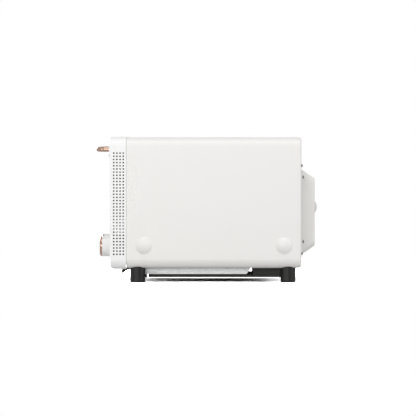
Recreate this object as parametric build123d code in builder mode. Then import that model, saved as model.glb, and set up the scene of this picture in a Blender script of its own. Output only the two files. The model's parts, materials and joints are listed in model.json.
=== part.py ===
import math
import os

from build123d import *

os.makedirs("parts", exist_ok=True)

# A countertop steam toaster oven with a door hinged along its bottom edge.
# Millimetres, +Z up, the front faces -Y, +X is the user's right hand.
# The origin lies on the resting surface, under the middle of the whole object.

# Wrap of the body
body_width = 348.0
body_top = 208.3
body_bottom = 20.7
body_front = -116.0
body_rear = 135.6
skin = 0.6
corner_radius = 13.5
rear_edge_radius = 3.2
rear_rim_width = 10.0
wrap_return_width = 14.0

# Pressed domes that keep the sides and the back off a wall
side_dome_radius = 12.0
side_dome_height = 4.5
side_dome_front_y = -91.4
side_dome_rear_y = 110.8
side_dome_z = 53.0
rear_dome_radius = 10.0
rear_dome_height = 5.0
rear_dome_z = 107.0

# Clearances
running_fit = 0.05
hole_clearance = 0.1
seam_gap = 0.3
seat_gap = 0.1
slide_clearance = 0.3

# Base pan and crumb chute
pan_sheet = 0.8
pan_rear_flange_height = 14.0
pan_flange_inset = 24.0
chute_width = 200.0
chute_front = -80.0
chute_rear = 50.0
chute_sheet = 0.5

# Feet
foot_inset = 17.0
foot_front_y = -99.7
foot_rear_y = 116.6
foot_top_radius = 11.4
foot_bottom_radius = 10.9
foot_edge_radius = 1.5
foot_recess_radius = 5.0
foot_recess_depth = 9.0
foot_screw_radius = 2.0
foot_screw_head_radius = 4.0
foot_screw_head_height = 2.6
foot_screw_end = 3.5

# Back panel and its screws
back_sheet = 0.8
vent_slot_length = 16.0
vent_slot_width = 2.6
vent_slot_columns = 11
vent_slot_pitch_x = 24.0
vent_slot_rows = 2
vent_slot_pitch_z = 8.0
vent_slot_z = 180.0
small_screw_radius = 1.6
small_screw_head_radius = 2.2
small_screw_head_height = 1.7
small_screw_length = 6.0
panel_screw_high_z = 168.0
panel_screw_low_z = 41.5
panel_screw_inset = 5.5

# Rear cover
cover_side_inset = 56.0
cover_base_height = 121.4
cover_z = 100.8
cover_rear = 155.5
cover_slope_z = 12.2
cover_slope_x = 5.0
cover_flange_rise = 2.8
cover_flange_width = 10.0
cover_sheet = 1.0
cover_edge_radius = 4.0
cover_corner_radius = 9.0
cover_screw_high_z = 151.3
cover_screw_low_z = 58.1

# Cord gland
gland_inset = 29.0
gland_z = 70.0
gland_body_radius = 6.0
gland_flange_radius = 9.0
gland_flange_thickness = 2.5
gland_nose_radius = 5.5
gland_nose_length = 8.0
gland_bore_radius = 3.5
gland_tail = 4.0

# Front bezel
bezel_front = -139.8
bezel_proud = 0.7
bezel_drop = 1.6
bezel_wall = 1.5
bezel_face = 2.5
bezel_slant_height = 13.0
bezel_slant_depth = 1.9
bezel_bottom_radius = 6.5
tray_notch_height = 3.1
vent_hole_radius = 1.22
vent_columns = 4
vent_rows = 33
vent_pitch_y = 4.56
vent_pitch_z = 4.54
vent_centre_y = -127.25
vent_centre_z = 113.4

# Door opening and door
door_inset = 12.5
door_top = 201.5
door_front = -139.3
door_back = -127.3
hinge_z = 84.0
door_gap_side = 1.5
door_gap_bottom = 1.0
door_sheet = 1.0
window_side_margin = 33.5
window_bottom = 102.0
window_top = 170.0
window_radius = 9.0
glass_thickness = 4.0
glass_lap = 9.0
collar_lap = 3.0
bumper_radius = 4.5
bumper_stem_radius = 2.2
bumper_proud = 0.4
bumper_stem_length = 3.0
bumper_inset = 9.0
hinge_arm_width = 14.0
hinge_arm_height = 16.0
hinge_pin_radius = 2.5
hinge_pin_reach = 11.1
hinge_bracket_sheet = 2.5
hinge_bracket_height = 22.0
hinge_bracket_gap = 1.0
bracket_flange_width = 4.5
spring_wire_radius = 0.5
spring_turns = 2.5
spring_pitch = 1.25

# Handle
handle_z = 191.3
handle_tip = -160.5
handle_radius = 3.6
handle_inset = 52.5
handle_bend_radius = 9.0
handle_screw_radius = 1.9
handle_screw_head_radius = 4.0
handle_screw_head_height = 2.2
handle_screw_bite = 6.0
rail_inset = 11.5
rail_top = 196.6
rail_bottom = 182.5
rail_thickness = 2.1
rail_corner_radius = 2.0
trim_radius = 1.45
trim_lift = 0.25

# Cooking cavity
cavity_inset = 38.0
cavity_top = 186.0
cavity_sill = 88.0
cavity_floor = 64.0
cavity_rear = 112.0
cavity_step_y = -108.0
liner_sheet = 0.5
liner_front = -126.6
liner_flange_gap = 0.7
frame_sheet = 0.8
frame_margin = 0.6

# Heaters
heater_front_y = -65.0
heater_rear_y = 35.0
heater_top_z = 174.0
heater_bottom_z = 78.0
heater_tube_radius = 5.0
heater_tube_wall = 1.0
filament_radius = 1.6
end_cap_length = 12.0
end_cap_size = 16.0
end_cap_floor = 5.0
reflector_side_gap = 16.0
reflector_front = -100.0
reflector_rear = 80.0
reflector_sheet = 0.5
reflector_lip = 8.0
guard_z = 92.0
guard_rod_radius = 1.5
guard_wire_radius = 1.1
guard_rods = 9
guard_edge_space = 24.0
guard_front = -96.0
guard_rear = 58.0

# Wire rack and its rails
rack_z = 112.0
rack_rod_radius = 2.25
rack_wire_radius = 1.25
rack_wall_gap = 2.25
rack_front = -112.0
rack_rear = 98.0
rack_wires = 15
rack_edge_space = 16.7
rack_cross_y = (-42.0, 28.0)
rack_corner_radius = 10.0
rail_sheet = 1.0
rack_rail_lap = 5.5
rack_rail_height = 6.0
rack_rail_front = -120.0
rack_rail_rear = 104.0

# Crumb tray
tray_inset = 36.0
tray_bottom = 11.5
tray_top = 20.4
tray_front = -95.0
tray_rear = 63.0
tray_end_slope = 6.0
tray_sheet = 0.6
tray_rim = 8.0
tray_rear_wall_drop = 2.6
runner_sheet = 1.0
runner_front = -84.0
runner_rear = 50.0
runner_side_gap = 1.0
runner_lip_gap = 0.7
shield_inset = 12.0
shield_gap = 1.1
shield_front = -85.0
shield_rear = 105.0
shield_flange = 3.7
shield_sheet = 0.5
shield_tray_gap = 3.0
grip_width = 84.0
grip_thickness = 3.0
grip_drop = 0.2
grip_knee_y = -110.7
grip_nose_y = -124.6
grip_nose_z = 15.6
grip_tip_y = -123.9
grip_tip_z = 10.0
grip_crook_y = -117.1
grip_crook_z = 15.2

# Controls
knob_inset = 77.0
knob_z = 51.2
knob_radius = 14.6
knob_front = -155.3
knob_gap = 0.5
knob_shell = 2.0
knob_hub_radius = 6.0
knob_nut_room = 3.0
knob_cap_radius = 10.1
knob_cap_drop = 0.5
ring_radius = 14.4
ring_depth = 3.4
ring_round = 2.9
ring_gap = 0.1
shaft_radius = 3.0
shaft_flat = 1.0
shaft_in_knob = 9.0
shaft_in_switch = 12.0
switch_width = 30.0
switch_height = 28.0
switch_depth = 19.0
bushing_radius = 4.5
nut_across_flats = 12.0
nut_thickness = 1.6
fascia_inset = 24.0
fascia_bottom = 30.0
fascia_top = 72.0
fascia_radius = 5.0
fascia_sheet = 1.4
fascia_recess = 0.2
lens_radius = 1.6
lens_count = 5
lens_pitch = 18.0
lens_tail = 0.6
led_radius = 1.5
board_width = 124.0
board_height = 38.0
board_thickness = 1.6
board_standoff = 6.5
boss_radius = 3.0
boss_inset = 6.0

# Steam
inlet_inset = 48.0
inlet_width = 28.0
inlet_bottom = 188.4
inlet_top = 200.0
inlet_depth = 26.6
inlet_sheet = 1.0
pipe_radius = 3.0
pipe_bore_radius = 2.2
pipe_bend_radius = 10.0
pipe_drop_inset = 20.0
pipe_turn_y = -60.0
pipe_leave_y = -80.0
pipe_rear_y = 85.0
pipe_entry_rise = 4.5
boiler_width = 38.0
boiler_length = 38.0
boiler_height = 9.0
boiler_wall = 1.0
boiler_side_gap = 2.0
boiler_cover_sheet = 1.0
boiler_hole_radius = 1.5
boiler_hole_pitch = 8.0
sensor_y = 60.0
sensor_z = 150.0
sensor_radius = 2.5
sensor_reach = 16.0
sensor_flange_radius = 6.0
sensor_flange_thickness = 2.0

# Values worked out from the ones above
half_width = body_width / 2
knob_x = half_width - knob_inset
tray_half = half_width - tray_inset
foot_x = half_width - foot_inset
pan_flange_half = half_width - pan_flange_inset
gland_x = gland_inset - half_width
pan_bottom = body_bottom + skin
pan_top = pan_bottom + pan_sheet
pan_half = half_width - corner_radius - seat_gap
wrap_opening_half = half_width - corner_radius - wrap_return_width
rim_inner_y = body_rear - skin
back_front = rim_inner_y - back_sheet
pan_rear = body_rear - rear_edge_radius
bezel_rear = body_front - seam_gap
bezel_half = half_width + bezel_proud
bezel_top = body_top + bezel_proud
bezel_bottom = body_bottom - bezel_drop
bezel_face_back = bezel_front + bezel_face
hinge_y = (door_front + door_back) / 2
barrel_radius = (door_back - door_front) / 2
door_half = half_width - door_inset
window_width = 2 * (door_half - window_side_margin)
handle_half = door_half - handle_inset
rail_half = door_half - rail_inset
door_bottom = hinge_z - barrel_radius
opening_half = door_half + door_gap_side
opening_bottom = door_bottom - door_gap_bottom
opening_top = door_top + door_gap_side
window_z = (window_bottom + window_top) / 2
glass_back = door_front + door_sheet + glass_thickness
inner_panel_front = door_back - door_sheet
cavity_half = half_width - cavity_inset
reflector_half = cavity_half - reflector_side_gap
rail_front_y = door_front - rail_thickness
handle_axis_y = handle_tip + handle_radius
flange_back = liner_front + liner_sheet
frame_back = body_front + frame_sheet
fascia_width = body_width - 2 * fascia_inset
fascia_front = bezel_front + fascia_recess
fascia_back = fascia_front + fascia_sheet
knob_back = fascia_front - knob_gap
board_front = bezel_face_back + board_standoff
inlet_x = half_width - inlet_inset
pipe_drop_x = half_width - pipe_drop_inset
heater_places = {
    "heater_top_front": (heater_front_y, heater_top_z),
    "heater_top_rear": (heater_rear_y, heater_top_z),
    "heater_bottom_front": (heater_front_y, heater_bottom_z),
    "heater_bottom_rear": (heater_rear_y, heater_bottom_z),
}
lens_places = [(index - (lens_count - 1) / 2) * lens_pitch for index in range(lens_count)]
board_boss_z = (
    knob_z - board_height / 2 + boss_inset,
    knob_z + board_height / 2 - boss_inset,
)


def facing(y):
    # A sketch plane that looks towards the front: its x is +X and its y is +Z
    return Plane(origin=(0, y, 0), x_dir=(1, 0, 0), z_dir=(0, -1, 0))


def block(x, y, z, mode=Mode.ADD):
    # A rectangular block between a low and a high limit on each axis
    with Locations(((x[0] + x[1]) / 2, (y[0] + y[1]) / 2, (z[0] + z[1]) / 2)):
        Box(x[1] - x[0], y[1] - y[0], z[1] - z[0], mode=mode)


def rod_x(y, z, radius, x, mode=Mode.ADD):
    # A round rod along X between two limits
    with Locations(Location(((x[0] + x[1]) / 2, y, z), (0, 90, 0))):
        Cylinder(radius, x[1] - x[0], mode=mode)


def rod_y(x, z, radius, y, mode=Mode.ADD):
    # A round rod along Y between two limits
    with Locations(Location((x, (y[0] + y[1]) / 2, z), (90, 0, 0))):
        Cylinder(radius, y[1] - y[0], mode=mode)


def rod_z(x, y, radius, z, mode=Mode.ADD):
    # A round rod along Z between two limits
    with Locations((x, y, (z[0] + z[1]) / 2)):
        Cylinder(radius, z[1] - z[0], mode=mode)


def body_outline(y, inset=0.0):
    # The rounded outline of the wrap as seen from the front, drawn in at depth y
    with BuildSketch(facing(y)) as outline:
        with Locations((0, (body_top + body_bottom) / 2)):
            RectangleRounded(
                body_width - 2 * inset,
                body_top - body_bottom - 2 * inset,
                corner_radius - inset,
            )
    return outline.sketch


def spherical_cap(base_radius, height):
    # A domed cap that stands on the XY plane
    sphere_radius = (base_radius**2 + height**2) / (2 * height)
    with BuildPart() as cap:
        with Locations((0, 0, height - sphere_radius)):
            Sphere(sphere_radius)
        split(bisect_by=Plane.XY)
    return cap.part


def hollow_cap(base_radius, height, wall):
    # The space under such a cap when it is pressed from sheet of this thickness
    sphere_radius = (base_radius**2 + height**2) / (2 * height) - wall
    return spherical_cap(math.sqrt(2 * sphere_radius * height - height**2), height)


def save(node, name):
    node.part.label = name
    export_step(node.part, f"parts/{name}.step")


# Wrap: one sheet that forms the top, both sides, the rounded rear rim and the
# returns under the body, with two pressed domes on each side
dome = spherical_cap(side_dome_radius, side_dome_height)
dome_hollow = hollow_cap(side_dome_radius, side_dome_height, skin)
with BuildPart() as housing:
    extrude(body_outline(body_front), amount=-(body_rear - body_front))
    fillet(housing.faces().sort_by(Axis.Y)[-1].edges(), radius=rear_edge_radius)
    offset(amount=-skin, openings=housing.faces().sort_by(Axis.Y)[0])
    extrude(
        body_outline(body_rear - 2 * skin, rear_rim_width), amount=-3 * skin, mode=Mode.SUBTRACT
    )
    block(
        (-wrap_opening_half, wrap_opening_half),
        (body_front, body_rear),
        (body_bottom, pan_bottom),
        mode=Mode.SUBTRACT,
    )
    for side in (-1, 1):
        for dome_y in (side_dome_front_y, side_dome_rear_y):
            turn = (0, side * 90, 0)
            with Locations(Location((side * half_width, dome_y, side_dome_z), turn)):
                add(dome)
            with Locations(Location((side * (half_width - skin), dome_y, side_dome_z), turn)):
                add(dome_hollow, mode=Mode.SUBTRACT)
        for foot_y in (foot_front_y, foot_rear_y):
            rod_z(
                side * foot_x,
                foot_y,
                foot_screw_radius + hole_clearance,
                (body_bottom - skin, pan_top),
                mode=Mode.SUBTRACT,
            )
        for screw_z in (panel_screw_low_z, panel_screw_high_z):
            rod_y(
                side * (half_width - panel_screw_inset),
                screw_z,
                small_screw_radius + hole_clearance,
                (back_front, body_rear + skin),
                mode=Mode.SUBTRACT,
            )
save(housing, "housing")

# Base pan: rests on the returns of the wrap, open above the crumb tray
with BuildPart() as base_pan:
    block((-pan_half, pan_half), (body_front, pan_rear), (pan_bottom, pan_top))
    block(
        (-pan_flange_half, pan_flange_half),
        (pan_rear - pan_sheet, pan_rear),
        (pan_top, pan_top + pan_rear_flange_height),
    )
    block(
        (-chute_width / 2, chute_width / 2),
        (chute_front, chute_rear),
        (pan_bottom, pan_top),
        mode=Mode.SUBTRACT,
    )
    for foot_y in (foot_front_y, foot_rear_y):
        for side in (-1, 1):
            rod_z(
                side * foot_x,
                foot_y,
                foot_screw_radius + hole_clearance,
                (pan_bottom, pan_top),
                mode=Mode.SUBTRACT,
            )
save(base_pan, "base_pan")

# Feet: round rubber feet whose tops follow the bend of the wrap
foot_places = {
    "foot_front_left": (-foot_x, foot_front_y),
    "foot_front_right": (foot_x, foot_front_y),
    "foot_rear_left": (-foot_x, foot_rear_y),
    "foot_rear_right": (foot_x, foot_rear_y),
}
foot_height = body_bottom + corner_radius
for foot_name, (place_x, place_y) in foot_places.items():
    with BuildPart() as foot:
        with Locations((place_x, place_y, 0)):
            Cone(
                foot_bottom_radius,
                foot_top_radius,
                foot_height,
                align=(Align.CENTER, Align.CENTER, Align.MIN),
            )
        fillet(foot.edges().sort_by(Axis.Z)[0], radius=foot_edge_radius)
        rod_z(place_x, place_y, foot_recess_radius, (0, foot_recess_depth), mode=Mode.SUBTRACT)
        rod_z(
            place_x,
            place_y,
            foot_screw_radius + hole_clearance,
            (foot_recess_depth, foot_height),
            mode=Mode.SUBTRACT,
        )
        extrude(
            body_outline(body_front), amount=-(body_rear - body_front), mode=Mode.SUBTRACT
        )
    save(foot, foot_name)

# Foot screws: up through the foot, the wrap and the base pan
with BuildPart() as foot_screws:
    for place_x, place_y in foot_places.values():
        rod_z(
            place_x,
            place_y,
            foot_screw_head_radius,
            (foot_recess_depth - foot_screw_head_height, foot_recess_depth),
        )
        rod_z(
            place_x, place_y, foot_screw_radius, (foot_recess_depth, pan_top + foot_screw_end)
        )
save(foot_screws, "foot_screws")

# Back panel: a plate behind the rear rim, with vent slots and the cord's hole
cover_half = half_width - cover_side_inset
cover_screw_x = cover_half + cover_flange_width / 2
with BuildPart() as back_panel:
    extrude(body_outline(back_front, rear_edge_radius + seat_gap), amount=-back_sheet)
    with BuildSketch(facing(back_front)) as slots:
        with Locations((0, vent_slot_z)):
            with GridLocations(
                vent_slot_pitch_x, vent_slot_pitch_z, vent_slot_columns, vent_slot_rows
            ):
                SlotOverall(vent_slot_length, vent_slot_width)
    extrude(amount=-back_sheet, mode=Mode.SUBTRACT)
    rod_y(
        gland_x,
        gland_z,
        gland_body_radius + hole_clearance,
        (back_front, rim_inner_y),
        mode=Mode.SUBTRACT,
    )
    for side in (-1, 1):
        for screw_x, screw_z in (
            (half_width - panel_screw_inset, panel_screw_low_z),
            (half_width - panel_screw_inset, panel_screw_high_z),
            (cover_screw_x, cover_screw_low_z),
            (cover_screw_x, cover_screw_high_z),
        ):
            rod_y(
                side * screw_x,
                screw_z,
                small_screw_radius + hole_clearance,
                (back_front, rim_inner_y),
                mode=Mode.SUBTRACT,
            )
save(back_panel, "back_panel")

# Back panel screws: through the rear rim into the back panel
with BuildPart() as back_panel_screws:
    for side in (-1, 1):
        for screw_z in (panel_screw_low_z, panel_screw_high_z):
            screw_x = side * (half_width - panel_screw_inset)
            rod_y(
                screw_x,
                screw_z,
                small_screw_head_radius,
                (body_rear, body_rear + small_screw_head_height),
            )
            rod_y(screw_x, screw_z, small_screw_radius, (body_rear - small_screw_length, body_rear))
save(back_panel_screws, "back_panel_screws")

# Rear cover: a drawn bulge with sloped ends and a dome at its middle
cover_flange_rear = rim_inner_y + cover_flange_rise


def cover_bulge(inset):
    # The bulge as a solid, drawn in on every side but its open front
    with BuildPart() as bulge:
        with BuildSketch(facing(cover_flange_rear)):
            with Locations((0, cover_z)):
                Rectangle(2 * (cover_half - inset), cover_base_height - 2 * inset)
        with BuildSketch(facing(cover_rear - inset)):
            with Locations((0, cover_z)):
                Rectangle(
                    2 * (cover_half - cover_slope_x - inset),
                    cover_base_height - 2 * cover_slope_z - 2 * inset,
                )
        loft()
        depth = cover_rear - inset - cover_flange_rear
        sloped_edges = bulge.edges().filter_by(
            lambda edge: abs(edge.bounding_box().size.Y - depth) < 0.01
        )
        fillet(sloped_edges, radius=cover_corner_radius - inset)
        fillet(bulge.faces().sort_by(Axis.Y)[-1].edges(), radius=cover_edge_radius - inset)
    return bulge.part


rear_dome = spherical_cap(rear_dome_radius, rear_dome_height)
rear_dome_hollow = hollow_cap(rear_dome_radius, rear_dome_height, cover_sheet)
bulge_outside = cover_bulge(0)
bulge_inside = cover_bulge(cover_sheet)
with BuildPart() as rear_cover:
    block(
        (-cover_half - cover_flange_width, cover_half + cover_flange_width),
        (rim_inner_y, cover_flange_rear),
        (cover_z - cover_base_height / 2, cover_z + cover_base_height / 2),
    )
    add(bulge_outside)
    add(bulge_inside, mode=Mode.SUBTRACT)
    block(
        (-cover_half + cover_sheet, cover_half - cover_sheet),
        (rim_inner_y, cover_flange_rear),
        (
            cover_z - cover_base_height / 2 + cover_sheet,
            cover_z + cover_base_height / 2 - cover_sheet,
        ),
        mode=Mode.SUBTRACT,
    )
    with Locations(Location((0, cover_rear, rear_dome_z), (-90, 0, 0))):
        add(rear_dome)
    with Locations(Location((0, cover_rear - cover_sheet, rear_dome_z), (-90, 0, 0))):
        add(rear_dome_hollow, mode=Mode.SUBTRACT)
    for side in (-1, 1):
        for screw_z in (cover_screw_low_z, cover_screw_high_z):
            rod_y(
                side * cover_screw_x,
                screw_z,
                small_screw_radius + hole_clearance,
                (rim_inner_y, cover_flange_rear),
                mode=Mode.SUBTRACT,
            )
save(rear_cover, "rear_cover")

# Rear cover screws: through the flange into the back panel
with BuildPart() as rear_cover_screws:
    for side in (-1, 1):
        for screw_z in (cover_screw_low_z, cover_screw_high_z):
            screw_x = side * cover_screw_x
            rod_y(
                screw_x,
                screw_z,
                small_screw_head_radius,
                (cover_flange_rear, cover_flange_rear + small_screw_head_height),
            )
            rod_y(
                screw_x,
                screw_z,
                small_screw_radius,
                (cover_flange_rear - small_screw_length, cover_flange_rear),
            )
save(rear_cover_screws, "rear_cover_screws")

# Cord gland: a grommet in the back panel, beside the rear cover
with BuildPart() as cord_gland:
    rod_y(
        gland_x, gland_z, gland_flange_radius, (rim_inner_y, rim_inner_y + gland_flange_thickness)
    )
    rod_y(gland_x, gland_z, gland_body_radius, (back_front - gland_tail, rim_inner_y))
    gland_nose = rim_inner_y + gland_flange_thickness
    rod_y(gland_x, gland_z, gland_nose_radius, (gland_nose, gland_nose + gland_nose_length))
    rod_y(
        gland_x,
        gland_z,
        gland_bore_radius,
        (back_front - gland_tail, gland_nose + gland_nose_length),
        mode=Mode.SUBTRACT,
    )
save(cord_gland, "cord_gland")

# Front bezel: a ring with a slanted top, a rounded lower edge, vent holes in
# both sides, the walls round the door and the field that carries the controls
with BuildPart() as front_bezel:
    with BuildSketch(facing(bezel_rear)):
        with Locations((0, (bezel_top + bezel_bottom) / 2)):
            RectangleRounded(
                2 * bezel_half, bezel_top - bezel_bottom, corner_radius + bezel_proud
            )
    extrude(amount=bezel_rear - bezel_front)
    with BuildSketch(Plane.YZ):
        with BuildLine():
            Line((bezel_rear, bezel_bottom), (bezel_front + bezel_bottom_radius, bezel_bottom))
            RadiusArc(
                (bezel_front + bezel_bottom_radius, bezel_bottom),
                (bezel_front, bezel_bottom + bezel_bottom_radius),
                bezel_bottom_radius,
            )
            Polyline(
                (bezel_front, bezel_bottom + bezel_bottom_radius),
                (bezel_front, bezel_top - bezel_slant_height),
                (bezel_front + bezel_slant_depth, bezel_top),
                (bezel_rear, bezel_top),
                (bezel_rear, bezel_bottom),
            )
        make_face()
    extrude(amount=bezel_half, both=True, mode=Mode.INTERSECT)
    with BuildSketch(facing(bezel_rear)):
        with Locations((0, (bezel_top + bezel_bottom) / 2)):
            RectangleRounded(
                2 * (bezel_half - bezel_wall),
                bezel_top - bezel_bottom - 2 * bezel_wall,
                corner_radius + bezel_proud - bezel_wall,
            )
    extrude(amount=bezel_rear - bezel_face_back - bezel_bottom_radius, mode=Mode.SUBTRACT)
    block(
        (-bezel_half + bezel_wall, bezel_half - bezel_wall),
        (bezel_face_back, bezel_rear),
        (bezel_bottom + corner_radius, bezel_top - corner_radius),
        mode=Mode.SUBTRACT,
    )
    for low, high in (
        (bezel_bottom + bezel_bottom_radius, bezel_bottom + corner_radius),
        (bezel_top - corner_radius, bezel_top - bezel_wall),
    ):
        block(
            (-bezel_half + corner_radius, bezel_half - corner_radius),
            (bezel_face_back, bezel_rear),
            (low, high),
            mode=Mode.SUBTRACT,
        )
    block(
        (-opening_half - bezel_wall, opening_half + bezel_wall),
        (bezel_face_back, body_front),
        (opening_bottom - bezel_wall, opening_top + bezel_wall),
    )
    block(
        (-opening_half, opening_half),
        (bezel_front, body_front),
        (opening_bottom, opening_top),
        mode=Mode.SUBTRACT,
    )
    block(
        (-tray_half - slide_clearance - bezel_wall, tray_half + slide_clearance + bezel_wall),
        (bezel_front, bezel_rear),
        (bezel_bottom, bezel_bottom + tray_notch_height),
        mode=Mode.SUBTRACT,
    )
    with BuildSketch(facing(bezel_front)):
        with Locations((0, (fascia_bottom + fascia_top) / 2)):
            RectangleRounded(
                fascia_width + 2 * seat_gap,
                fascia_top - fascia_bottom + 2 * seat_gap,
                fascia_radius + seat_gap,
            )
    extrude(amount=-(fascia_back - bezel_front), mode=Mode.SUBTRACT)
    with BuildSketch(Plane.YZ):
        with Locations((vent_centre_y, vent_centre_z)):
            with GridLocations(vent_pitch_y, vent_pitch_z, vent_columns, vent_rows):
                Circle(vent_hole_radius)
    extrude(amount=bezel_half, both=True, mode=Mode.SUBTRACT)
    for side in (-1, 1):
        rod_x(
            hinge_y,
            hinge_z,
            hinge_pin_radius + slide_clearance,
            sorted((side * opening_half, side * (opening_half + bezel_wall))),
            mode=Mode.SUBTRACT,
        )
        rod_y(
            side * knob_x,
            knob_z,
            bushing_radius + hole_clearance,
            (bezel_front, bezel_face_back),
            mode=Mode.SUBTRACT,
        )
        for boss_z in board_boss_z:
            rod_y(
                side * (board_width / 2 - boss_inset),
                boss_z,
                boss_radius,
                (bezel_face_back, board_front),
            )
    for lens_x in lens_places:
        rod_y(
            lens_x,
            knob_z,
            lens_radius + hole_clearance,
            (bezel_front, bezel_face_back),
            mode=Mode.SUBTRACT,
        )
save(front_bezel, "front_bezel")

# Control fascia: the plate behind the knobs
with BuildPart() as control_fascia:
    with BuildSketch(facing(fascia_front)):
        with Locations((0, (fascia_bottom + fascia_top) / 2)):
            RectangleRounded(fascia_width, fascia_top - fascia_bottom, fascia_radius)
    extrude(amount=-fascia_sheet)
    for side in (-1, 1):
        rod_y(
            side * knob_x,
            knob_z,
            bushing_radius + hole_clearance,
            (fascia_front, fascia_back),
            mode=Mode.SUBTRACT,
        )
    for lens_x in lens_places:
        rod_y(
            lens_x,
            knob_z,
            lens_radius + running_fit,
            (fascia_front, fascia_back),
            mode=Mode.SUBTRACT,
        )
save(control_fascia, "control_fascia")

# Indicator lenses: one small window in the fascia for each setting
lens_back = bezel_face_back - lens_tail
with BuildPart() as indicator_lenses:
    for lens_x in lens_places:
        rod_y(lens_x, knob_z, lens_radius, (fascia_front, lens_back))
save(indicator_lenses, "indicator_lenses")

# Control board on its bosses, with a light behind each lens
with BuildPart() as control_board:
    block(
        (-board_width / 2, board_width / 2),
        (board_front, board_front + board_thickness),
        (knob_z - board_height / 2, knob_z + board_height / 2),
    )
save(control_board, "control_board")

with BuildPart() as indicator_lights:
    for lens_x in lens_places:
        rod_y(lens_x, knob_z, led_radius, (lens_back + hole_clearance, board_front))
save(indicator_lights, "indicator_lights")

# Timer and mode switches: a body, a threaded bushing and a bore for the shaft
switch_back = bezel_face_back + switch_depth
shaft_end = bezel_face_back + shaft_in_switch
bushing_front = fascia_front - nut_thickness
switch_places = {"timer": -knob_x, "mode": knob_x}
for switch_name, switch_x in switch_places.items():
    with BuildPart() as switch:
        block(
            (switch_x - switch_width / 2, switch_x + switch_width / 2),
            (bezel_face_back, switch_back),
            (knob_z - switch_height / 2, knob_z + switch_height / 2),
        )
        rod_y(switch_x, knob_z, bushing_radius, (bushing_front, bezel_face_back))
        rod_y(
            switch_x,
            knob_z,
            shaft_radius + running_fit,
            (bushing_front, shaft_end + slide_clearance),
            mode=Mode.SUBTRACT,
        )
    save(switch, f"{switch_name}_switch")

# Switch nuts: clamp both switches to the fascia, hidden under the knobs
with BuildPart() as switch_nuts:
    with BuildSketch(facing(fascia_front)):
        for switch_x in switch_places.values():
            with Locations((switch_x, knob_z)):
                RegularPolygon(nut_across_flats / 2, 6, major_radius=False)
                Circle(bushing_radius + running_fit, mode=Mode.SUBTRACT)
    extrude(amount=nut_thickness)
save(switch_nuts, "switch_nuts")

# Knobs: each is a shell with a hub, a bright ring and a shaft with a flat
hub_front = knob_back - knob_nut_room
for switch_name, switch_x in switch_places.items():
    with BuildPart() as knob:
        rod_y(switch_x, knob_z, knob_radius, (knob_front + ring_depth, knob_back))
        rod_y(
            switch_x,
            knob_z,
            knob_cap_radius,
            (knob_front + knob_cap_drop, knob_front + ring_depth),
        )
        with BuildSketch(facing(knob_back)):
            with Locations((switch_x, knob_z)):
                Circle(knob_radius - knob_shell)
                Circle(knob_hub_radius, mode=Mode.SUBTRACT)
        extrude(amount=knob_back - knob_front - ring_depth - knob_shell, mode=Mode.SUBTRACT)
        rod_y(switch_x, knob_z, knob_hub_radius, (hub_front, knob_back), mode=Mode.SUBTRACT)
        with BuildSketch(facing(hub_front)):
            with Locations((switch_x, knob_z)):
                Circle(shaft_radius + running_fit)
            with Locations((switch_x, knob_z - shaft_flat)):
                Rectangle(
                    2 * (shaft_radius + hole_clearance),
                    2 * (shaft_radius + running_fit),
                    mode=Mode.INTERSECT,
                )
        extrude(amount=shaft_in_knob + running_fit, mode=Mode.SUBTRACT)
    save(knob, f"{switch_name}_knob")

    with BuildPart() as ring:
        with BuildSketch(Plane(origin=(switch_x, 0, knob_z), x_dir=(1, 0, 0), z_dir=(0, 0, 1))):
            with BuildLine():
                Polyline(
                    (ring_radius - ring_round, knob_front),
                    (knob_cap_radius + ring_gap, knob_front),
                    (knob_cap_radius + ring_gap, knob_front + ring_depth),
                    (ring_radius, knob_front + ring_depth),
                    (ring_radius, knob_front + ring_round),
                )
                RadiusArc(
                    (ring_radius, knob_front + ring_round),
                    (ring_radius - ring_round, knob_front),
                    ring_round,
                )
            make_face()
        revolve(axis=Axis((switch_x, 0, knob_z), (0, 1, 0)))
    save(ring, f"{switch_name}_knob_ring")

    with BuildPart() as shaft:
        rod_y(switch_x, knob_z, shaft_radius, (hub_front, shaft_end))
        with BuildSketch(facing(hub_front)):
            with Locations((switch_x, knob_z)):
                Circle(shaft_radius)
            with Locations((switch_x, knob_z - shaft_flat)):
                Rectangle(2 * shaft_radius, 2 * shaft_radius, mode=Mode.INTERSECT)
        extrude(amount=shaft_in_knob)
    save(shaft, f"{switch_name}_shaft")

# Front frame: the steel plate between the bezel and the wrap
with BuildPart() as front_frame:
    extrude(body_outline(body_front, skin + frame_margin), amount=-frame_sheet)
    block(
        (-half_width, half_width), (body_front, frame_back), (body_bottom, pan_top), mode=Mode.SUBTRACT
    )
    block(
        (-cavity_half - liner_sheet - seat_gap, cavity_half + liner_sheet + seat_gap),
        (body_front, frame_back),
        (cavity_sill - liner_sheet - seat_gap, cavity_top + liner_sheet + seat_gap),
        mode=Mode.SUBTRACT,
    )
    block(
        (inlet_x - inlet_width / 2 - seat_gap, inlet_x + inlet_width / 2 + seat_gap),
        (body_front, frame_back),
        (inlet_bottom - seat_gap, inlet_top + seat_gap),
        mode=Mode.SUBTRACT,
    )
save(front_frame, "front_frame")

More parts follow.
